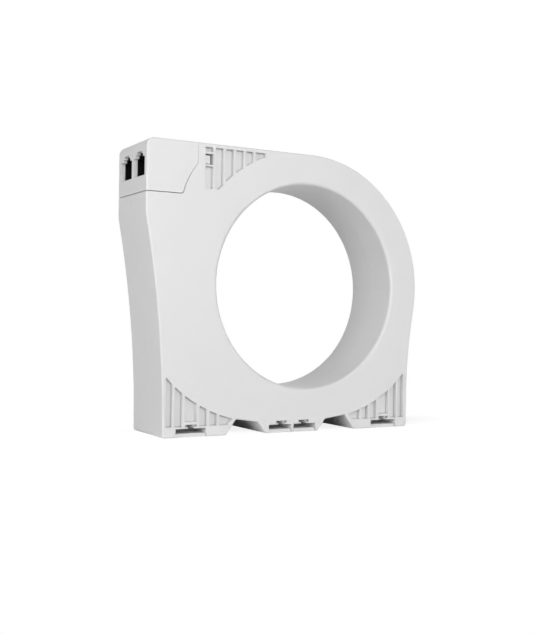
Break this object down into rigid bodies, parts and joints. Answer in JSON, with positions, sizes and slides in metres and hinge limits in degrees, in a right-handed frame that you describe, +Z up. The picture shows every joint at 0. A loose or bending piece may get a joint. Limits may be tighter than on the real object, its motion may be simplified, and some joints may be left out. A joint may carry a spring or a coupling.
{
  "type": "current transformer",
  "caption": "Slim moulded ring transformer with a round cable window, a capped corner with modular sockets, and slotted feet.",
  "frame": {"origin": "centre of the cable window, on the plane where the two housing halves meet", "axes": "+X to the right seen from the front, +Y from the front face to the rear face, +Z up"},
  "size_m": [0.1215, 0.0286, 0.1088],
  "materials": {
    "housing_plastic": "light grey moulded, fine spark texture",
    "socket_black": "black moulded",
    "contact_gold": "gold-plated spring wire",
    "board_green": "green solder mask",
    "screw_steel": "zinc-plated steel",
    "diode_black": "moulded epoxy",
    "resistor_black": "glazed ceramic chip",
    "core_strip": "tape-wound soft magnetic strip",
    "case_plastic": "natural moulded",
    "winding_copper": "enamelled copper wire",
    "test_wire": "enamelled copper wire",
    "tape_yellow": "polyester tape",
    "foam_grey": "closed-cell foam",
    "lead_black": "PVC insulation",
    "lead_red": "PVC insulation"
  },
  "bodies": {
    "root": {"front_shell": "housing_plastic", "rear_shell": "housing_plastic", "connector_cover": "housing_plastic", "front_socket": "socket_black", "rear_socket": "socket_black", "front_socket_contacts": "contact_gold", "rear_socket_contacts": "contact_gold", "socket_board": "board_green", "board_screws": "screw_steel", "protection_diodes": "diode_black", "burden_resistor": "resistor_black", "toroid_core": "core_strip", "core_case": "case_plastic", "core_case_lid": "case_plastic", "secondary_winding": "winding_copper", "test_winding": "test_wire", "winding_tape": "tape_yellow", "front_foam_ring": "foam_grey", "rear_foam_ring": "foam_grey", "secondary_leads": "lead_black", "test_leads": "lead_red", "housing_screws": "screw_steel"}
  },
  "joints": []
}
